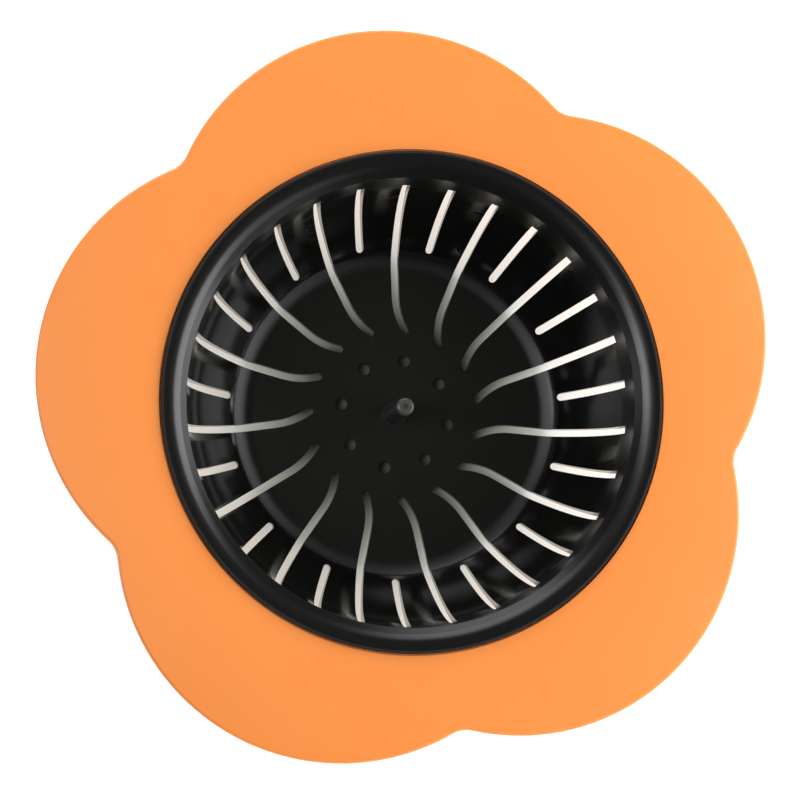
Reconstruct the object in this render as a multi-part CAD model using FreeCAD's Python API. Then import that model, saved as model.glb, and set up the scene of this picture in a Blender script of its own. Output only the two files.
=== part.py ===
import FreeCAD, Part
import math
import os

os.makedirs("parts", exist_ok=True)

# A sink strainer: a slotted basket that hangs by its rim in a soft flower-shaped collar.
# Lengths are in millimetres and angles in degrees. Z is the axis of both pieces. The origin lies on
# it, in the plane of the collar's underside, which rests on the sink. One petal points along +Y.

# Flower collar
petal_count = 5
petal_radius = 34.5
petal_offset = 23.8  # from the axis to the centre of a petal's arc
notch_radius = 4.5  # rounding between two petals
collar_thickness = 2.6  # round the rim
seat_depth = 0.8  # how deep the rim lies in the collar's top
petal_tip_thickness = 1.4
petal_edge_round = 0.5
seat_margin = 0.8  # flat land on the collar, outside the seat
neck_clearance = 0.3  # all round, between the basket's neck and the collar's hole
rim_clearance = 0.3  # all round, between the rim and the side of its seat

# Basket: wall and rim
wall = 1.5
rim_overhang = 2.5  # how far the rim reaches past the neck
rim_height = 1.3
rim_foot_round = 0.2
rim_shoulder_round = 0.2
rim_flat = 0.8  # width of the flat crest
rim_slope = 43.0  # how steeply the rim falls inwards to the neck
rim_slope_round = 2.9  # between the crest and that slope

# Basket: bowl, measured on its inner face and down from the collar's top
neck_radius = 34.9
neck_depth = 3.3  # the straight part, above the slots
bowl_depth = 25.9
side_radius = 30.8  # of the wall's arc, from the neck down to the corner
corner_radius = 4.5
floor_rise = 1.2  # the floor is a shallow dome
foot_flat = 0.2  # how deep the rounded underside is cut flat, to stand on

# Basket: slots and drain holes
slot_pairs = 15  # one long and one short slot in each
slot_width = 1.2
slot_margin = 0.3  # from the neck's inner face to the slots' outer ends
slot_end_lean = 12.0  # the outer ends lean out going down, so that they don't show from above
short_slot_radius = 26.5  # where a short slot ends
hook_start_radius = 19.0  # where a long slot starts to curve
hook_radius = 11.5
hook_sweep = 29.0
long_slot_lean = 1.2  # how far a long slot turns off its spoke, about its outer end
drain_hole_count = 8
drain_hole_diameter = 2.0
drain_hole_circle = 8.7
basket_turn = -8.5  # from the petal on +Y to the first long slot
drain_hole_turn = -10.6  # from the first long slot to the first drain hole

# Basket: lift post
post_height = 14.8
post_tip_diameter = 2.8
post_base_diameter = 3.4
post_tip_round = 0.5
post_base_round = 0.1
gate_mark_diameter = 0.8  # dimple in the post's tip
gate_mark_depth = 0.25

overrun = 2.0  # how far a cutting solid passes the face that it cuts
same_point = 1e-6  # points closer than this are one

quarter_turn = 90.0
half_turn = 180.0
full_turn = 360.0
axis = FreeCAD.Vector(0, 0, 1)
origin = FreeCAD.Vector(0, 0, 0)

# Where the pieces meet
neck_outer_radius = neck_radius + wall
collar_hole_radius = neck_outer_radius + neck_clearance
rim_radius = neck_outer_radius + rim_overhang
seat = collar_thickness - seat_depth
seat_radius = rim_radius + rim_clearance
land_radius = seat_radius + seat_margin
floor_low = collar_thickness - bowl_depth
floor_top = floor_low + floor_rise
first_slot = quarter_turn + basket_turn
slot_outer_radius = neck_radius - slot_margin


def flat_spoke(length, angle):
    turn = math.radians(angle)
    return FreeCAD.Vector(length * math.cos(turn), length * math.sin(turn), 0)


def upright_spoke(length, angle):
    turn = math.radians(angle)
    return FreeCAD.Vector(length * math.cos(turn), 0, length * math.sin(turn))


def upright_bearing(way):
    return math.degrees(math.atan2(way.z, way.x))


def section_point(radius, height):
    return FreeCAD.Vector(radius, 0, height)


def arc_about(middle, radius, start, end, spoke):
    points = [middle + spoke(radius, angle) for angle in (start, (start + end) / 2, end)]
    return Part.Arc(*points).toShape()


def ends(item):
    if isinstance(item, FreeCAD.Vector):
        return item, item
    return item.valueAt(item.FirstParameter), item.valueAt(item.LastParameter)


def closed_wire(items):
    # points and arcs in order, with a straight line wherever two of them don't meet
    edges = []
    for item, following in zip(items, items[1:] + items[:1]):
        if not isinstance(item, FreeCAD.Vector):
            edges.append(item)
        leave, arrive = ends(item)[1], ends(following)[0]
        if not leave.isEqual(arrive, same_point):
            edges.append(Part.LineSegment(leave, arrive).toShape())
    return Part.Wire(edges)


def turned(items):
    return Part.Face(closed_wire(items)).revolve(origin, axis, full_turn)


def ring_of(shape, count, first):
    copies = []
    for place in range(count):
        copy = shape.copy()
        copy.rotate(origin, axis, first + place * full_turn / count)
        copies.append(copy)
    return copies


def petal_outline():
    half_pitch = half_turn / petal_count
    across = petal_offset * math.sin(math.radians(half_pitch))
    along = petal_offset * math.cos(math.radians(half_pitch))
    notch_offset = along + math.sqrt((petal_radius + notch_radius) ** 2 - across**2)
    to_notch = flat_spoke(notch_offset, half_pitch) - flat_spoke(petal_offset, 0)
    spread = math.degrees(math.atan2(to_notch.y, to_notch.x))
    arcs = []
    for petal in range(petal_count):
        angle = quarter_turn + petal * 2 * half_pitch
        notch = angle + half_pitch
        lean_in = spread - half_pitch
        petal_middle = flat_spoke(petal_offset, angle)
        notch_middle = flat_spoke(notch_offset, notch)
        inward = notch + half_turn
        arcs.append(arc_about(petal_middle, petal_radius, angle - spread, angle + spread, flat_spoke))
        arcs.append(arc_about(notch_middle, notch_radius, inward + lean_in, inward - lean_in, flat_spoke))
    return Part.Wire(arcs)


def crown():
    # the collar's thickness all round: a flat land round the seat, then a top that falls in one arc
    reach = petal_offset + petal_radius - land_radius
    drop = collar_thickness - petal_tip_thickness
    crown_radius = (reach**2 + drop**2) / (2 * drop)
    middle = section_point(land_radius, collar_thickness - crown_radius)
    past_tip = math.degrees(math.asin((reach + overrun) / crown_radius))
    top = arc_about(middle, crown_radius, quarter_turn, quarter_turn - past_tip, upright_spoke)
    return turned([section_point(0, collar_thickness), top, section_point(ends(top)[1].x, 0), origin])


def is_petal_brim(edge):
    middle = edge.valueAt((edge.FirstParameter + edge.LastParameter) / 2)
    outside = math.hypot(middle.x, middle.y) > land_radius
    return outside and middle.z > petal_edge_round and edge.BoundBox.ZMin > 0


def flower_collar():
    blank = Part.Face(petal_outline()).extrude(axis * collar_thickness)
    collar = blank.common(crown()).removeSplitter().Solids[0]
    brim = [edge for edge in collar.Edges if is_petal_brim(edge)]
    collar = collar.makeFillet(petal_edge_round, brim)
    hole = Part.makeCylinder(collar_hole_radius, collar_thickness + 2 * overrun, axis * -overrun)
    rim_seat = Part.makeCylinder(seat_radius, seat_depth + overrun, axis * seat)
    return collar.cut([hole, rim_seat])


# Section of the bowl: the corner's arc meets the wall's and the dome's without a crease
neck_foot = collar_thickness - neck_depth
side_middle = section_point(neck_radius - side_radius, neck_foot)
corner_height = floor_low + corner_radius
corner_reach = math.sqrt((side_radius - corner_radius) ** 2 - (neck_foot - corner_height) ** 2)
corner_middle = section_point(side_middle.x + corner_reach, corner_height)
side_to_corner = upright_bearing(corner_middle - side_middle)
dome_radius = (corner_middle.x**2 + floor_rise**2) / (2 * floor_rise) - corner_radius
dome_middle = section_point(0, floor_top - dome_radius)
corner_to_dome = upright_bearing(dome_middle - corner_middle)
dome_to_corner = upright_bearing(corner_middle - dome_middle)


def post_section():
    # from the tip on the axis down the tapered side, and out on to the dome
    base = section_point(post_base_diameter / 2, floor_top)
    tip = section_point(post_tip_diameter / 2, floor_top + post_height)
    up = (tip - base).normalize()
    out = FreeCAD.Vector(up.z, 0, -up.x)
    side = upright_bearing(out)
    tip_middle = section_point(tip.x - post_tip_round * (1 - out.z) / out.x, tip.z - post_tip_round)
    start = base + out * post_base_round - dome_middle
    span = dome_radius + post_base_round
    climb = math.sqrt(start.dot(up) ** 2 - start.dot(start) + span**2) - start.dot(up)
    base_middle = dome_middle + start + up * climb
    to_dome = upright_bearing(dome_middle - base_middle)
    from_dome = upright_bearing(base_middle - dome_middle)
    gate_mark_radius = gate_mark_diameter / 2
    return [
        section_point(0, tip.z - gate_mark_depth),
        section_point(gate_mark_radius, tip.z - gate_mark_depth),
        section_point(gate_mark_radius, tip.z),
        arc_about(tip_middle, post_tip_round, quarter_turn, side, upright_spoke),
        arc_about(base_middle, post_base_round, side + half_turn, to_dome + full_turn, upright_spoke),
        arc_about(dome_middle, dome_radius, from_dome, dome_to_corner, upright_spoke),
    ]


def rim_section():
    # from the neck's inner face up the slope, over the crest and its shoulder to the underside
    crest = seat + rim_height
    shoulder = section_point(rim_radius - rim_shoulder_round, crest - rim_shoulder_round)
    foot = section_point(rim_radius - rim_foot_round, seat + rim_foot_round)
    bend = section_point(shoulder.x - rim_flat, crest - rim_slope_round)
    slope_top = bend + upright_spoke(rim_slope_round, quarter_turn + rim_slope)
    drop = (slope_top.x - neck_radius) * math.tan(math.radians(rim_slope))
    return [
        section_point(neck_radius, slope_top.z - drop),
        arc_about(bend, rim_slope_round, quarter_turn + rim_slope, quarter_turn, upright_spoke),
        arc_about(shoulder, rim_shoulder_round, quarter_turn, 0, upright_spoke),
        arc_about(foot, rim_foot_round, 0, -quarter_turn, upright_spoke),
    ]


def basket_blank():
    outer_corner = corner_radius + wall
    blank = turned(
        post_section()
        + [arc_about(corner_middle, corner_radius, corner_to_dome, side_to_corner, upright_spoke)]
        + [arc_about(side_middle, side_radius, side_to_corner, 0, upright_spoke)]
        + rim_section()
        + [section_point(neck_outer_radius, seat)]
        + [arc_about(side_middle, side_radius + wall, 0, side_to_corner, upright_spoke)]
        + [arc_about(corner_middle, outer_corner, side_to_corner, corner_to_dome, upright_spoke)]
        + [arc_about(dome_middle, dome_radius - wall, dome_to_corner, quarter_turn, upright_spoke)]
    )
    stand = corner_height - outer_corner + foot_flat
    below = Part.makeCylinder(rim_radius, overrun, axis * (stand - overrun))
    return blank.cut(below)


def leaning_end(low):
    # the wedge past a slot's outer end, from where the slot opens in the wall's inner face
    drop = math.sqrt(side_radius**2 - (slot_outer_radius - side_middle.x) ** 2)
    top = section_point(slot_outer_radius, side_middle.z - drop)
    out = (top.z - low) * math.tan(math.radians(slot_end_lean))
    back = FreeCAD.Vector(-overrun, 0, 0)
    foot = section_point(slot_outer_radius + out, low)
    side = Part.Face(closed_wire([top, foot, section_point(slot_outer_radius, low) + back, top + back]))
    side.translate(FreeCAD.Vector(0, -slot_width / 2, 0))
    return side.extrude(FreeCAD.Vector(0, slot_width, 0))


def slot_prism(outline):
    low = floor_low - wall - overrun
    face = Part.Face(closed_wire(outline))
    face.translate(axis * low)
    return face.extrude(axis * (collar_thickness - low)).fuse(leaning_end(low))


def long_slot():
    # along +X: a straight run in from a square end, then a hook that curves clockwise to a round end
    half = slot_width / 2
    last = quarter_turn + hook_sweep
    hook_middle = FreeCAD.Vector(hook_start_radius, -hook_radius, 0)
    end_middle = hook_middle + flat_spoke(hook_radius, last)
    slot = slot_prism([
        FreeCAD.Vector(slot_outer_radius, half, 0),
        arc_about(hook_middle, hook_radius + half, quarter_turn, last, flat_spoke),
        arc_about(end_middle, half, last, last + half_turn, flat_spoke),
        arc_about(hook_middle, hook_radius - half, last, quarter_turn, flat_spoke),
        FreeCAD.Vector(slot_outer_radius, -half, 0),
    ])
    slot.rotate(FreeCAD.Vector(slot_outer_radius, 0, 0), axis, long_slot_lean)
    return slot


def short_slot():
    half = slot_width / 2
    end_middle = FreeCAD.Vector(short_slot_radius + half, 0, 0)
    return slot_prism([
        FreeCAD.Vector(slot_outer_radius, half, 0),
        arc_about(end_middle, half, quarter_turn, quarter_turn + half_turn, flat_spoke),
        FreeCAD.Vector(slot_outer_radius, -half, 0),
    ])


def drain_hole():
    low = floor_low - wall - overrun
    place = FreeCAD.Vector(drain_hole_circle, 0, low)
    return Part.makeCylinder(drain_hole_diameter / 2, floor_top + overrun - low, place)


def strainer_basket():
    between = half_turn / slot_pairs
    cuts = ring_of(long_slot(), slot_pairs, first_slot)
    cuts += ring_of(short_slot(), slot_pairs, first_slot + between)
    cuts += ring_of(drain_hole(), drain_hole_count, first_slot + drain_hole_turn)
    return basket_blank().cut(cuts)


for name, shape in (("flower_collar", flower_collar()), ("strainer_basket", strainer_basket())):
    piece = shape.removeSplitter().Solids[0]
    print(name, "solids", len(shape.Solids), "valid", piece.isValid(), "volume", piece.Volume)
    print(" ", piece.BoundBox)
    piece.exportStep("parts/" + name + ".step")
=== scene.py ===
import math

import bmesh
import bpy
from mathutils import Matrix, Vector


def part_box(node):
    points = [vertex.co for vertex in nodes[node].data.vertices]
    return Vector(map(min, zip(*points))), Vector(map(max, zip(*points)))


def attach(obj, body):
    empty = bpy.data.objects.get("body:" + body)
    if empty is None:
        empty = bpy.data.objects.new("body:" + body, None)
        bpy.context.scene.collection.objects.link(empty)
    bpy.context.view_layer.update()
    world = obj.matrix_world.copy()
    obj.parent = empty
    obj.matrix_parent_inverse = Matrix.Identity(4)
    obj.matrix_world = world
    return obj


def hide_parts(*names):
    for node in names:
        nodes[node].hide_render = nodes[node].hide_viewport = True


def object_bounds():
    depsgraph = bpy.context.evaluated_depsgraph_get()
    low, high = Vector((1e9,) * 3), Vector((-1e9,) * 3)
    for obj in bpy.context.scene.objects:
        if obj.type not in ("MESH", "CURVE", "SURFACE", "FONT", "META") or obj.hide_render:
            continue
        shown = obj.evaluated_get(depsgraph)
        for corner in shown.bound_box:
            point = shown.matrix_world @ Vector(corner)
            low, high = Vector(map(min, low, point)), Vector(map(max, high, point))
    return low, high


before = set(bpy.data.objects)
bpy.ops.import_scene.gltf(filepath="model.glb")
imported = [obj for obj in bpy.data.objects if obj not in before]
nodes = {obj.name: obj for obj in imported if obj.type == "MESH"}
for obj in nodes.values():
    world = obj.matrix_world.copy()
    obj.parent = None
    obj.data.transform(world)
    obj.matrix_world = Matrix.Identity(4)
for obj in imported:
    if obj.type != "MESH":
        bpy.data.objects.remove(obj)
cadLow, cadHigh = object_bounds()
mm = 0.001  # the frame is in metres
imageSide = 800  # the photograph is square
level = 90.0  # degrees from straight overhead
white = "#ffffff"
print("frame loaded:", ", ".join(sorted(nodes)))


def linear(hexColour):
    # sRGB hex to the linear colour that a shader takes
    parts = [int(hexColour[place:place + 2], 16) / 255 for place in (1, 3, 5)]
    return [part / 12.92 if part <= 0.04045 else ((part + 0.055) / 1.055) ** 2.4 for part in parts] + [1]


def addNode(tree, kind, settings=(), inputs=()):
    # settings are the node's own options, inputs are values or other nodes' sockets
    node = tree.nodes.new(kind)
    for name, value in dict(settings).items():
        setattr(node, name, value)
    for name, value in dict(inputs).items():
        if isinstance(value, bpy.types.NodeSocket):
            tree.links.new(value, node.inputs[name])
        else:
            node.inputs[name].default_value = value
    return node


def calculate(tree, operation, *values):
    return addNode(tree, "ShaderNodeMath", {"operation": operation}, dict(enumerate(values))).outputs[0]


def blend(tree, share, first, second, kind="RGBA"):
    # a Mix node has other sockets for each kind of value: two inputs and an output
    one, two, out = {"FLOAT": (2, 3, 0), "RGBA": (6, 7, 2)}[kind]
    mix = addNode(tree, "ShaderNodeMix", {"data_type": kind}, {0: share, one: first, two: second})
    return mix.outputs[out]


def ramp(tree, value, begin, full, low=0, high=1, kind="LINEAR"):
    return addNode(tree, "ShaderNodeMapRange", {"interpolation_type": kind}, {
        "Value": value, "From Min": begin, "From Max": full, "To Min": low, "To Max": high}).outputs[0]


def noise(tree, place, width, detail, distortion=0):
    # blotches about this many millimetres wide
    return addNode(tree, "ShaderNodeTexNoise", inputs={
        "Vector": place, "Scale": 1 / (width * mm), "Detail": detail, "Distortion": distortion}).outputs[0]


def axisDistance(tree, place):
    # how far a place is from the upright axis
    flat = addNode(tree, "ShaderNodeVectorMath", {"operation": "MULTIPLY"}, {0: place, 1: (1, 1, 0)})
    length = addNode(tree, "ShaderNodeVectorMath", {"operation": "LENGTH"}, {0: flat.outputs[0]})
    return length.outputs["Value"]


def emptyMaterial(name):
    material = bpy.data.materials.new(name)
    material.use_nodes = True
    material.node_tree.nodes.clear()
    return material, material.node_tree


def wear(piece, material):
    piece.data.materials.clear()
    piece.data.materials.append(material)


def addObject(name, data):
    made = bpy.data.objects.new(name, data)
    bpy.context.scene.collection.objects.link(made)
    return made


def fromOverhead(azimuth, polar):
    # azimuth from +X towards +Y, polar from straight overhead, both in degrees
    turn, lean = math.radians(azimuth), math.radians(polar)
    return Vector((math.sin(lean) * math.cos(turn), math.sin(lean) * math.sin(turn), math.cos(lean)))


# Camera: almost overhead, matched to rim, slots and drain holes. Lengths in mm, angles in degrees
camera = {
    "aimHeight": 3.4,  # the height that the scale and the aim were fitted at
    "distance": 600.0,
    "azimuth": 205.94,
    "polar": 8.53,
    "upAzimuth": 81.28,  # where the picture's upper edge points
    "pixelsPerMm": 6.497,
    "aimPixel": (413.95, 400.65),  # where the axis stands at that height
    "sensor": 36.0,
}


def makeCamera():
    lens = bpy.data.cameras.new("camera")
    lens.sensor_width = camera["sensor"]
    lens.lens = camera["pixelsPerMm"] * camera["distance"] * camera["sensor"] / imageSide
    lens.shift_x = (imageSide / 2 - camera["aimPixel"][0]) / imageSide
    lens.shift_y = (camera["aimPixel"][1] - imageSide / 2) / imageSide
    back = fromOverhead(camera["azimuth"], camera["polar"])
    up = fromOverhead(camera["upAzimuth"], level)
    right = up.cross(back).normalized()
    up = back.cross(right)
    holder = addObject("camera", lens)
    place = Vector((0, 0, camera["aimHeight"] * mm)) + back * camera["distance"] * mm
    turn = Matrix((right, up, back)).transposed()
    holder.matrix_world = Matrix.Translation(place) @ turn.to_4x4()
    bpy.context.scene.camera = holder


# Soft boxes round the object, none overhead, so the black plastic keeps its depth. Sizes in mm are across
# and up, radiance is how white the middle looks, and feather is the share that fades at each edge
lowBox = {"polar": 78.0, "size": (1000.0, 260.0), "feather": (0.1, 0.1), "hidden": True}
softBoxes = {
    "right": {
        "azimuth": -8.0, "polar": 66.0, "size": (960.0, 1100.0), "radiance": 4.2, "feather": (0.2, 0.2)},
    "rightFront": {
        "azimuth": -50.0, "polar": 64.0, "size": (800.0, 900.0), "radiance": 0.8, "feather": (0.4, 0.3)},
    "left": {
        "azimuth": 173.0, "polar": 43.0, "size": (540.0, 1300.0), "radiance": 5.2, "feather": (0.35, 0.5)},
    "top": {
        "azimuth": 91.0, "polar": 71.0, "size": (960.0, 1000.0), "radiance": 2.4, "feather": (0.25, 0.3)},
    "lowRight": {"azimuth": 11.0, "radiance": 4.5, **lowBox},
    "lowTop": {"azimuth": 86.0, "radiance": 7.0, **lowBox},
    "lowFront": {"azimuth": 290.0, "radiance": 9.0, **lowBox},
}
boxDistance = 900.0  # mm
ambient = {"strength": 0.06, "background": 1.0}  # what lights the object, and what the camera sees


def makeSoftBox(name, box):
    lamp = bpy.data.lights.new(name + "SoftBox", "AREA")
    lamp.shape = "RECTANGLE"
    lamp.size, lamp.size_y = (side * mm for side in box["size"])
    lamp.energy = box["radiance"] * math.pi * lamp.size * lamp.size_y
    lamp.use_nodes = True
    tree = lamp.node_tree
    tree.nodes.clear()
    place = addNode(tree, "ShaderNodeNewGeometry").outputs["Parametric"]
    place = addNode(tree, "ShaderNodeSeparateXYZ", inputs={0: place})
    half = 0.5  # places run from 0 to 1 across the box
    glow = 1
    for way, feather in zip("XY", box["feather"]):
        offset = calculate(tree, "SUBTRACT", place.outputs[way], half)
        offset = calculate(tree, "ABSOLUTE", offset)
        fade = ramp(tree, offset, half - feather, half, 1, 0, "SMOOTHSTEP")
        glow = calculate(tree, "MULTIPLY", glow, fade)
    light = addNode(tree, "ShaderNodeEmission", inputs={"Strength": glow})
    addNode(tree, "ShaderNodeOutputLight", inputs={"Surface": light.outputs[0]})
    holder = addObject(lamp.name, lamp)
    way = fromOverhead(box["azimuth"], box["polar"])
    holder.location = way * boxDistance * mm
    holder.rotation_mode = "QUATERNION"
    holder.rotation_quaternion = way.to_track_quat("Z", "Y")
    # the low boxes light the paper and the collar, and nothing mirrors them
    holder.visible_glossy = not box.get("hidden", False)


def makeWorld():
    world = bpy.data.worlds.new("studio")
    bpy.context.scene.world = world
    world.use_nodes = True
    tree = world.node_tree
    tree.nodes.clear()
    seen = addNode(tree, "ShaderNodeLightPath").outputs["Is Camera Ray"]
    strength = blend(tree, seen, ambient["strength"], ambient["background"], "FLOAT")
    light = addNode(tree, "ShaderNodeBackground", inputs={"Color": linear(white), "Strength": strength})
    addNode(tree, "ShaderNodeOutputWorld", inputs={"Surface": light.outputs[0]})


# White paper under the basket's foot, drawn darker and warmer there as painted shade. Outwards from the
# foot it glows for the eye, like a light table.
# Lengths in mm, and pairs of them are the distances from the axis where a change begins and is full
floor = {
    "side": 6000.0,
    "colour": "#d8d8d8",
    "paintedShadeColour": "#9b9a90",  # painted shade under the basket, with the warm tint of the light that gets there
    "paintedWarmTint": "#fffded",  # painted warm light, in the first glow alone
    "paintedShadeFade": (14.0, 26.0),  # from the painted shade under the basket to the paper's own colour
    "glow": (0.35, 0.8),  # strength of the first glow, and of both together
    # the first glow paints light under the basket's wall and fades out towards the axis as painted shade
    "innerGlow": (13.5, 28.0),
    "outerGlow": (44.0, 58.0),
}


def makeFloor():
    half = floor["side"] / 2 * mm
    mesh = bpy.data.meshes.new("floor")
    corners = [(x * half, y * half, cadLow.z) for x, y in ((-1, -1), (1, -1), (1, 1), (-1, 1))]
    mesh.from_pydata(corners, [], [(0, 1, 2, 3)])
    piece = addObject("floor", mesh)
    material, tree = emptyMaterial("matte white paper")
    radius = axisDistance(tree, addNode(tree, "ShaderNodeTexCoord").outputs["Object"])

    def outwards(zone, high=1):
        begin, full = floor[zone]
        return ramp(tree, radius, begin * mm, full * mm, 0, high)

    inner, outer = floor["glow"]
    # painted light and shade: the glow grows from none near the axis to full beyond the collar
    glow = calculate(tree, "ADD", outwards("innerGlow", inner), outwards("outerGlow", outer - inner))
    path = addNode(tree, "ShaderNodeLightPath")
    seen = calculate(tree, "MAXIMUM", path.outputs["Is Camera Ray"], path.outputs["Is Glossy Ray"])
    seen = calculate(tree, "MAXIMUM", seen, path.outputs["Is Transmission Ray"])
    glow = calculate(tree, "MULTIPLY", seen, glow)
    # painted shade: the paper is drawn darker and warmer under the basket
    paperWithPaintedShade = blend(tree, outwards("paintedShadeFade"), linear(floor["paintedShadeColour"]), linear(floor["colour"]))
    paper = addNode(tree, "ShaderNodeBsdfDiffuse", inputs={"Color": paperWithPaintedShade})
    # painted warm light: the first glow is tinted warm
    tint = blend(tree, outwards("outerGlow"), linear(floor["paintedWarmTint"]), linear(white))
    lit = addNode(tree, "ShaderNodeEmission", inputs={"Color": tint, "Strength": glow})
    both = addNode(tree, "ShaderNodeAddShader", inputs={0: paper.outputs[0], 1: lit.outputs[0]})
    addNode(tree, "ShaderNodeOutputMaterial", inputs={"Surface": both.outputs[0]})
    wear(piece, material)


makeCamera()
makeWorld()
for name, box in softBoxes.items():
    makeSoftBox(name, box)
makeFloor()
print("studio ready:", len(softBoxes), "soft boxes")

# Flower collar: a soft sheet, crowned, with a rounded brim. Sizes in mm
collar = {
    "petals": 5,
    "petalRadius": 34.5,
    "notchRadius": 4.5,
    "seatRadius": 39.2,  # the recess that the rim lies in
    "seatHeight": 1.8,
    "landRadius": 40.0,  # flat round the seat
    "tipThickness": 1.4,
    "brimRound": 0.5,
    "petalSteps": 84,  # mesh points along a petal's arc, then along a notch, the crown and the brim
    "notchSteps": 14,
    "crownSteps": 18,
    "brimSteps": 6,
    "sharpAngle": 40.0,  # degrees, an edge that bends more stays sharp
}
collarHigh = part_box("flower_collar")[1]


def levelWay(angle):
    return Vector((math.cos(angle), math.sin(angle), 0))


def collarOutline():
    # outline points and their outward normals, one petal after another, in metres
    petalRadius, notchRadius = collar["petalRadius"] * mm, collar["notchRadius"] * mm
    petalOffset = collarHigh.y - petalRadius
    halfPitch = math.pi / collar["petals"]
    across, along = petalOffset * math.sin(halfPitch), petalOffset * math.cos(halfPitch)
    notchOffset = along + math.sqrt((petalRadius + notchRadius) ** 2 - across ** 2)
    # half the angle of a petal's arc, then of a notch's
    spread = math.pi / 2 + halfPitch - math.acos(across / (petalRadius + notchRadius))
    turnIn = spread - halfPitch
    ring = []
    for petal in range(collar["petals"]):
        middle = math.pi / 2 + 2 * halfPitch * petal
        centre = levelWay(middle) * petalOffset
        for step in range(collar["petalSteps"]):
            normal = levelWay(middle - spread + 2 * spread * step / collar["petalSteps"])
            ring.append((centre + normal * petalRadius, normal))
        notch = middle + halfPitch
        centre = levelWay(notch) * notchOffset
        for step in range(collar["notchSteps"]):
            normal = levelWay(notch + turnIn - 2 * turnIn * step / collar["notchSteps"])
            ring.append((centre - normal * notchRadius, normal))
    return ring


def collarHeight(radius):
    # the crown's height at that distance from the axis
    reach = collarHigh.y - collar["landRadius"] * mm
    drop = collarHigh.z - collar["tipThickness"] * mm
    crownRadius = (reach ** 2 + drop ** 2) / (2 * drop)
    past = max(radius - collar["landRadius"] * mm, 0)
    return collarHigh.z - crownRadius + math.sqrt(crownRadius ** 2 - past ** 2)


def makeCollar():
    outline = collarOutline()
    hole = min(vertex.co.xy.length for vertex in nodes["flower_collar"].data.vertices)
    brim = collar["brimRound"] * mm
    seat, seatHeight = collar["seatRadius"] * mm, collar["seatHeight"] * mm
    land = collar["landRadius"] * mm
    rings = []

    def addRing(place):
        rings.append([place(point, normal) for point, normal in outline])

    def roundRing(radius, height):
        addRing(lambda point, normal: point.normalized() * radius + Vector((0, 0, height)))

    # up from the hole's lower edge, over the seat, the crown and the brim, and back along the underside
    roundRing(hole, 0)
    roundRing(hole, seatHeight)
    roundRing(seat, seatHeight)
    roundRing(seat, collarHigh.z)
    for step in range(collar["crownSteps"] + 1):
        share = step / collar["crownSteps"]

        def topPoint(point, normal):
            inner = point.normalized() * land
            place = inner.lerp(point - normal * brim, share)
            return Vector((place.x, place.y, collarHeight(place.length)))
        addRing(topPoint)
    for step in range(1, collar["brimSteps"] + 1):
        lean = math.pi / 2 * step / collar["brimSteps"]

        def brimPoint(point, normal):
            start = point - normal * brim
            place = start + normal * brim * math.sin(lean)
            return Vector((place.x, place.y, collarHeight(start.length) - brim * (1 - math.cos(lean))))
        addRing(brimPoint)
    addRing(lambda point, normal: Vector((point.x, point.y, 0)))
    roundRing(land, 0)

    shape = bmesh.new()
    made = [[shape.verts.new(place) for place in ring] for ring in rings]
    count = len(outline)
    for near, far in zip(made, made[1:] + made[:1]):
        for place in range(count):
            after = (place + 1) % count
            shape.faces.new((near[place], near[after], far[after], far[place]))
    bmesh.ops.recalc_face_normals(shape, faces=shape.faces)
    mesh = bpy.data.meshes.new("flowerCollar")
    shape.to_mesh(mesh)
    shape.free()
    mesh.shade_smooth()
    mesh.set_sharp_from_angle(angle=math.radians(collar["sharpAngle"]))
    piece = addObject("flowerCollar", mesh)
    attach(piece, "collar")
    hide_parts("flower_collar")
    return piece


rubber = {
    "colour": "#f48e3f",
    "paleColour": "#f79446",
    "roughness": (0.38, 0.46),
    "cloudWidth": 11.0,  # mm, slow drift in the dye
    "cloudDetail": 3,
    "grainWidth": 0.5,  # mm, spark-eroded grain: about 0.1 on the real one, drawn coarser so that it shows
    "grainDetail": 2,
    "grainDepth": 0.02,  # mm
    "grainStrength": 0.12,
    "ior": 1.6,
    "glowThrough": 0.08,  # share of light that enters and spreads
    "glowReach": 0.8,  # mm
}


def softRubber():
    # dyed through, moulded in a fine spark-eroded tool: even colour, a broad soft sheen, no clear mirroring
    material, tree = emptyMaterial("thermoplastic rubber, moulded matte")
    place = addNode(tree, "ShaderNodeTexCoord").outputs["Object"]
    cloud = noise(tree, place, rubber["cloudWidth"], rubber["cloudDetail"])
    dye = blend(tree, cloud, linear(rubber["colour"]), linear(rubber["paleColour"]))
    grain = noise(tree, place, rubber["grainWidth"], rubber["grainDetail"])
    rough = ramp(tree, grain, 0, 1, *rubber["roughness"])
    bump = addNode(tree, "ShaderNodeBump", inputs={
        "Height": grain, "Distance": rubber["grainDepth"] * mm, "Strength": rubber["grainStrength"]})
    surface = addNode(tree, "ShaderNodeBsdfPrincipled", inputs={
        "Base Color": dye, "Roughness": rough, "Normal": bump.outputs[0], "IOR": rubber["ior"],
        "Subsurface Weight": rubber["glowThrough"], "Subsurface Scale": rubber["glowReach"] * mm})
    addNode(tree, "ShaderNodeOutputMaterial", inputs={"Surface": surface.outputs[0]})
    return material


wear(makeCollar(), softRubber())
print("flower collar ready")
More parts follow.
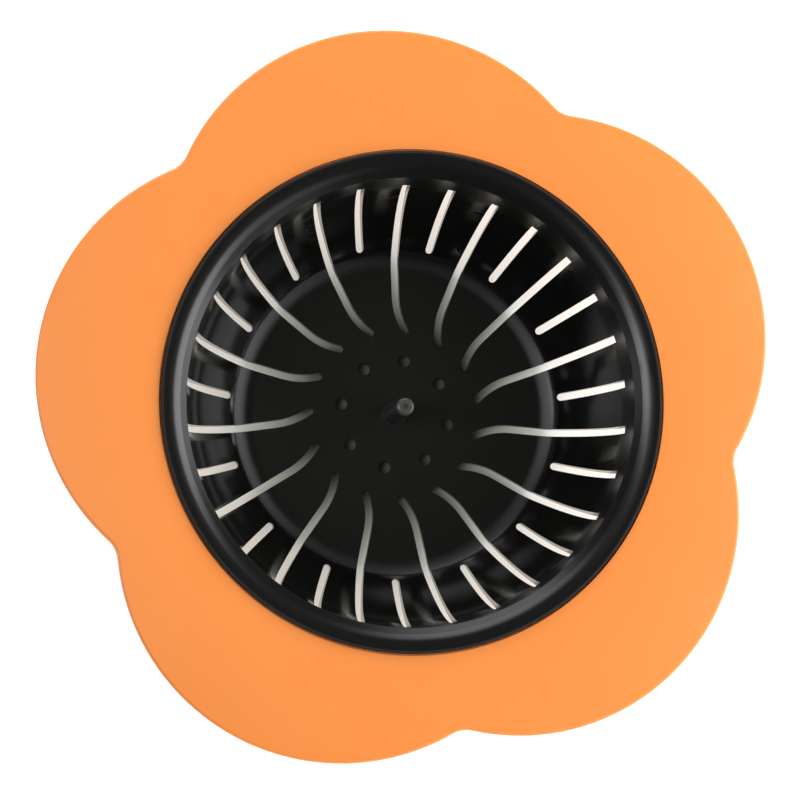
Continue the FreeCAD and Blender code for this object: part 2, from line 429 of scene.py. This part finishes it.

# Basket: black moulded plastic, polished inside, satin on the neck and rim, duller and with painted shade
# in the corner, duller on the rim's edge and on the post's side, and paler on the floor and the post's tip
plastic = {
    "colour": "#0e0e0d",
    "dustColour": "#141413",  # water marks and dust
    "dustWidth": 2.5,  # mm
    "dustDetail": 4,
    "dustDistortion": 0.6,
    "gloss": 0.11,
    # finish, colour, and the distances from the axis in mm where they begin and are full
    "zones": {
        "corner": (0.45, "#090908", 26.2, 25.2),  # painted shade: drawn darker in the corner, and duller so that it mirrors less
        "floor": (0.15, "#20201d", 24.8, 22.6),
        "neck": (0.36, "#0e0e0d", 34.0, 34.6),
        "rim": (0.28, "#0b0b0a", 34.92, 35.1),
        "edge": (0.8, "#0b0b0a", 38.4, 38.7),  # where the mould parts
        "post": (0.6, "#131312", 1.95, 1.8),
        "tip": (0.24, "#4a4a46", 2.2, 1.8),
    },
    "tipHeight": -7.9,  # mm, the post above this height is drawn paler and satin
    "waveWidth": 9.0,  # mm, sink and flow marks
    "waveDetail": 1,
    "waveDepth": 0.05,  # mm
    "waveStrength": 0.12,
    "ior": 1.58,
}


def blackPlastic():
    # filled with carbon black, moulded on a polished core: near black, clear reflections, faint flow marks
    material, tree = emptyMaterial("polystyrene, moulded glossy")
    place = addNode(tree, "ShaderNodeTexCoord").outputs["Object"]
    radius = axisDistance(tree, place)
    height = addNode(tree, "ShaderNodeSeparateXYZ", inputs={0: place}).outputs["Z"]
    onTip = calculate(tree, "GREATER_THAN", height, plastic["tipHeight"] * mm)
    dust = noise(tree, place, plastic["dustWidth"], plastic["dustDetail"], plastic["dustDistortion"])
    tint = blend(tree, dust, linear(plastic["colour"]), linear(plastic["dustColour"]))
    rough = plastic["gloss"]
    for name, (finish, colour, begin, full) in plastic["zones"].items():
        share = ramp(tree, radius, begin * mm, full * mm, kind="SMOOTHSTEP")
        if name == "tip":
            share = calculate(tree, "MULTIPLY", share, onTip)
        rough = blend(tree, share, rough, finish, "FLOAT")
        tint = blend(tree, share, tint, linear(colour))
    wave = noise(tree, place, plastic["waveWidth"], plastic["waveDetail"])
    bump = addNode(tree, "ShaderNodeBump", inputs={
        "Height": wave, "Distance": plastic["waveDepth"] * mm, "Strength": plastic["waveStrength"]})
    surface = addNode(tree, "ShaderNodeBsdfPrincipled", inputs={
        "Base Color": tint, "Roughness": rough, "Normal": bump.outputs[0], "IOR": plastic["ior"]})
    addNode(tree, "ShaderNodeOutputMaterial", inputs={"Surface": surface.outputs[0]})
    return material


wear(nodes["strainer_basket"], blackPlastic())
print("strainer basket ready")

bpy.context.scene.view_settings.view_transform = "Standard"
